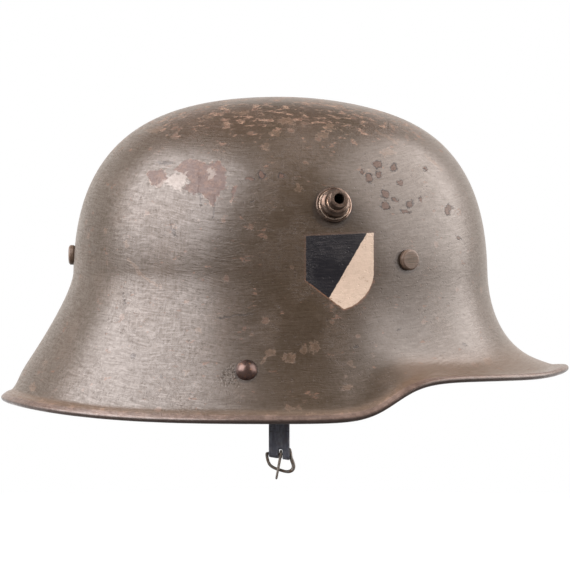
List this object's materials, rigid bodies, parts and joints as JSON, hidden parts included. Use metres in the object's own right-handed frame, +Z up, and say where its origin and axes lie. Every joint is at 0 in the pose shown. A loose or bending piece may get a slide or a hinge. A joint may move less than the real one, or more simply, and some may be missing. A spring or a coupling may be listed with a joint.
{
  "type": "steel helmet",
  "caption": "Steel combat helmet with visor, flared skirt, side ventilation lugs, a sprung leather liner and a short chin strap half with buckle.",
  "frame": {"origin": "centre of the head opening, level with the lower edge of the leather liner", "axes": "+X forward over the visor, +Y to the wearer's left, +Z up through the crown"},
  "size_m": [0.3027, 0.23, 0.1982],
  "materials": {
    "field_paint": "matt brushed field paint, worn",
    "bare_steel": "worn brown steel",
    "zinc_plate": "dull zinc plating",
    "spring_steel": "blued spring steel",
    "brass_rivet": "aged brass",
    "liner_leather": "smooth brown hide",
    "lace_leather": "round cord",
    "strap_leather": "blackened hide",
    "buckle_steel": "grey wire, worn"
  },
  "bodies": {
    "helmet": {"shell": "field_paint", "vent_lug_right": "bare_steel", "vent_lug_left": "bare_steel", "vent_lug_washers": "bare_steel", "liner_pins": "bare_steel", "pin_washers": "zinc_plate", "strap_lug_rivets": "bare_steel", "strap_lug_post_right": "bare_steel", "strap_lug_post_left": "bare_steel", "outer_band": "zinc_plate", "inner_band": "zinc_plate", "spring_leaves": "spring_steel", "leaf_rivets": "brass_rivet", "leather_liner": "liner_leather", "leather_rivets": "brass_rivet", "liner_lace": "lace_leather", "bail_bracket_right": "zinc_plate", "bail_bracket_left": "zinc_plate", "bracket_rivets": "brass_rivet"},
    "bail_right": {"bail_right": "spring_steel"},
    "bail_left": {"bail_left": "spring_steel"},
    "strap": {"chin_strap": "strap_leather", "strap_rivet": "brass_rivet"},
    "buckle": {"buckle_frame": "buckle_steel"},
    "prong": {"buckle_prong": "buckle_steel"}
  },
  "joints": [
    {"name": "bail_swing_right", "type": "hinge", "parent": "helmet", "child": "bail_right", "pos_m": [0, -0.08519, -0.002], "axis": [1, 0, 0], "range_deg": [-8, 75]},
    {"name": "bail_swing_left", "type": "hinge", "parent": "helmet", "child": "bail_left", "pos_m": [0, 0.08519, -0.002], "axis": [-1, 0, 0], "range_deg": [-8, 75]},
    {"name": "strap_swing", "type": "hinge", "parent": "bail_right", "child": "strap", "pos_m": [0, -0.08519, -0.013], "axis": [1, 0, 0], "range_deg": [-8, 60]},
    {"name": "buckle_swing", "type": "hinge", "parent": "strap", "child": "buckle", "pos_m": [0, -0.08519, -0.0853], "axis": [1, 0, 0], "range_deg": [-8, 45]},
    {"name": "prong_swing", "type": "hinge", "parent": "buckle", "child": "prong", "pos_m": [0, -0.08519, -0.0853], "axis": [1, 0, 0], "range_deg": [-100, 0]}
  ]
}
